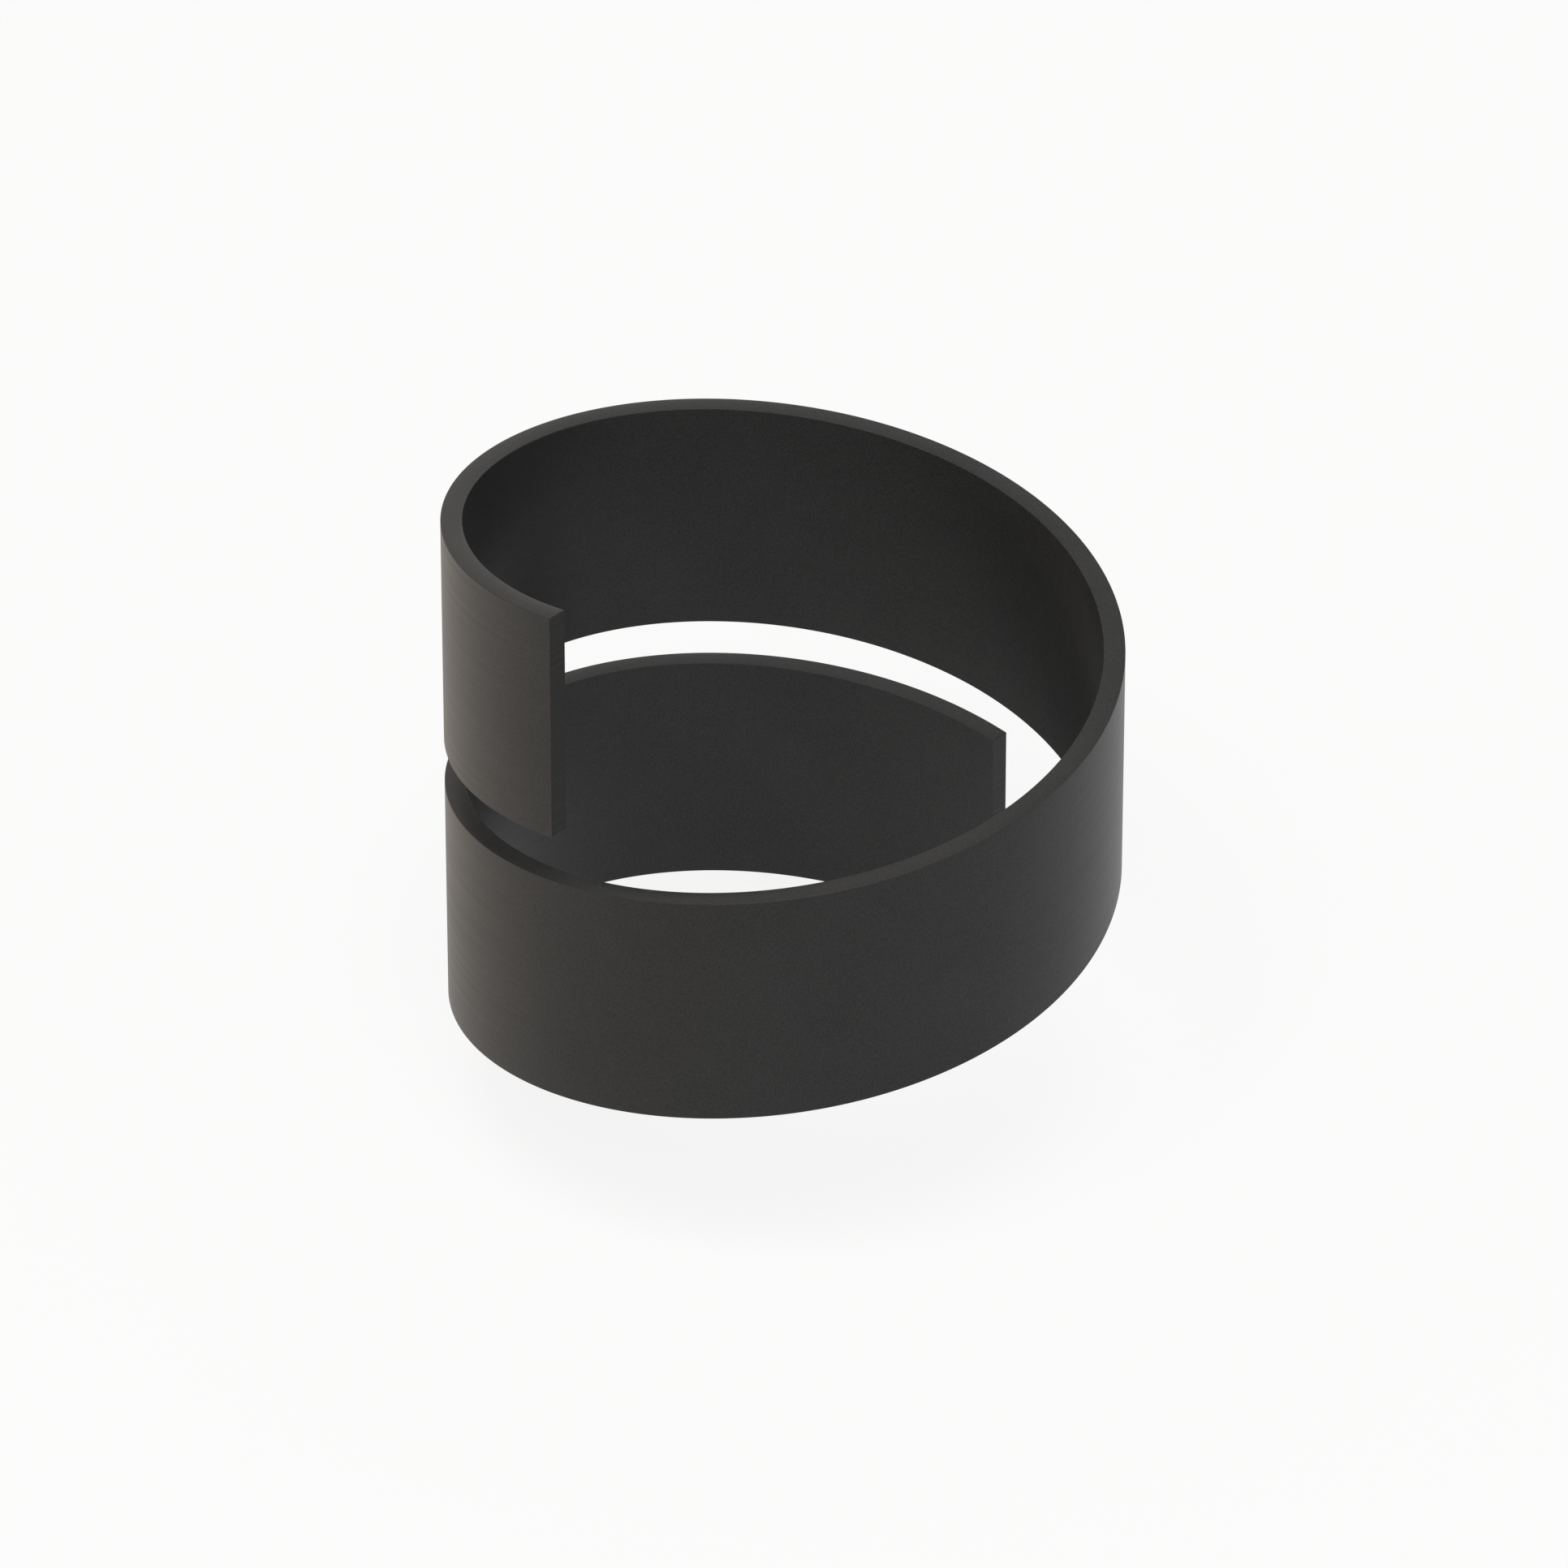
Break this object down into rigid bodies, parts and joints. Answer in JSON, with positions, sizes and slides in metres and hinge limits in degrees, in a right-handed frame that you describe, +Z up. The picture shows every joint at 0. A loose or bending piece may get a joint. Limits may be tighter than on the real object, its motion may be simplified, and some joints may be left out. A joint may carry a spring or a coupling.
{
  "type": "shaft collar",
  "caption": "Open helical shaft collar: a flat matt black plastic strip wound into a right-hand spiral that grips a shaft, with square-cut ends and an open gap between its turns.",
  "frame": {"origin": "on the bore's axis, halfway along the collar", "axes": "+Z up the bore's axis; the lower end of the strip is cut at +X and the upper end at -X, and both cut faces look along -Y"},
  "size_m": [0.0534, 0.0534, 0.056],
  "materials": {
    "black_plastic": "matt, as extruded"
  },
  "bodies": {
    "root": {"collar_strip": "black_plastic"}
  },
  "joints": []
}
